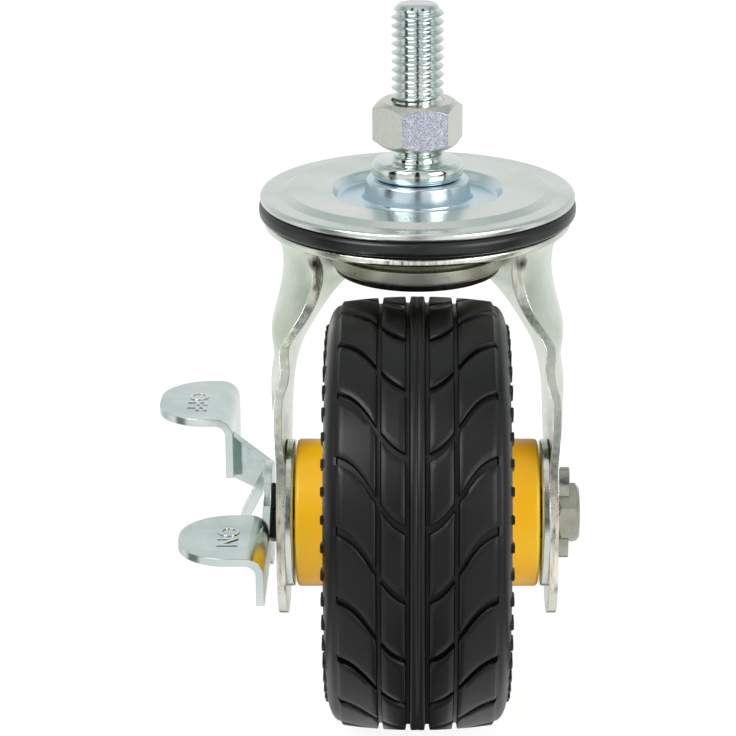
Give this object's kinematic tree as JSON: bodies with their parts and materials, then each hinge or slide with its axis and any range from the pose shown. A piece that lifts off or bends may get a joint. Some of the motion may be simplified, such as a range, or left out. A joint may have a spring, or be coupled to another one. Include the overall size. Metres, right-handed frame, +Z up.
{
  "type": "braked swivel caster",
  "caption": "Swivel caster with a threaded stem and lock nut, a pressed fork, a treaded rubber tyre on a yellow hub and a foot brake.",
  "frame": {"origin": "on the swivel axis, at the foot of the stud's free length, 0.1 mm above the lock nut's upper face", "axes": "+Z up the stem; the wheel trails towards -Y; the axle lies along X; the brake is on the -X side"},
  "size_m": [0.1011, 0.1273, 0.1647],
  "materials": {
    "bright_zinc": "blue-white zinc plating on pressed steel, soft gloss",
    "plated_nut": "zinc plating on a forged nut, slightly speckled",
    "fork_zinc": "zinc plating with a faint yellow-green cast",
    "bearing_steel": "ground bearing steel",
    "black_steel": "blackened steel",
    "seal_rubber": "smooth moulded rubber, half gloss",
    "tyre_rubber": "moulded tread rubber, matt",
    "yellow_hub": "moulded nylon, golden yellow, satin"
  },
  "bodies": {
    "stem": {"threaded_stem": "bright_zinc", "top_disc": "bright_zinc", "dust_seal": "seal_rubber", "lower_race": "bright_zinc", "bottom_cover": "seal_rubber"},
    "lock_nut": {"stem_nut": "plated_nut"},
    "fork": {"fork": "fork_zinc", "upper_balls": "bearing_steel", "lower_balls": "bearing_steel", "axle_bolt": "bright_zinc", "axle_sleeve": "bearing_steel", "side_disc_left": "bright_zinc", "side_disc_right": "bright_zinc", "bearing_inner_left": "bearing_steel", "bearing_inner_right": "bearing_steel"},
    "wheel": {"tyre": "tyre_rubber", "wheel_hub": "yellow_hub", "bearing_outer_left": "bearing_steel", "bearing_outer_right": "bearing_steel", "bearing_shield_left": "bearing_steel", "bearing_shield_right": "bearing_steel", "bearing_balls_left": "bearing_steel", "bearing_balls_right": "bearing_steel"},
    "brake": {"brake_rocker": "bright_zinc", "brake_nut": "black_steel"}
  },
  "joints": [
    {"name": "swivel", "type": "hinge", "parent": "stem", "child": "fork", "pos_m": [0, 0, -0.03], "axis": [0, 0, 1], "continuous": true},
    {"name": "nut_travel", "type": "slide", "parent": "stem", "child": "lock_nut", "axis": [0, 0, 1], "range_m": [-0.003, 0.018]},
    {"name": "wheel_spin", "type": "hinge", "parent": "fork", "child": "wheel", "pos_m": [0, -0.038, -0.0907], "axis": [1, 0, 0], "continuous": true},
    {"name": "brake_rock", "type": "hinge", "parent": "fork", "child": "brake", "pos_m": [-0.0349, -0.038, -0.0907], "axis": [1, 0, 0], "range_deg": [-25, 0]}
  ]
}
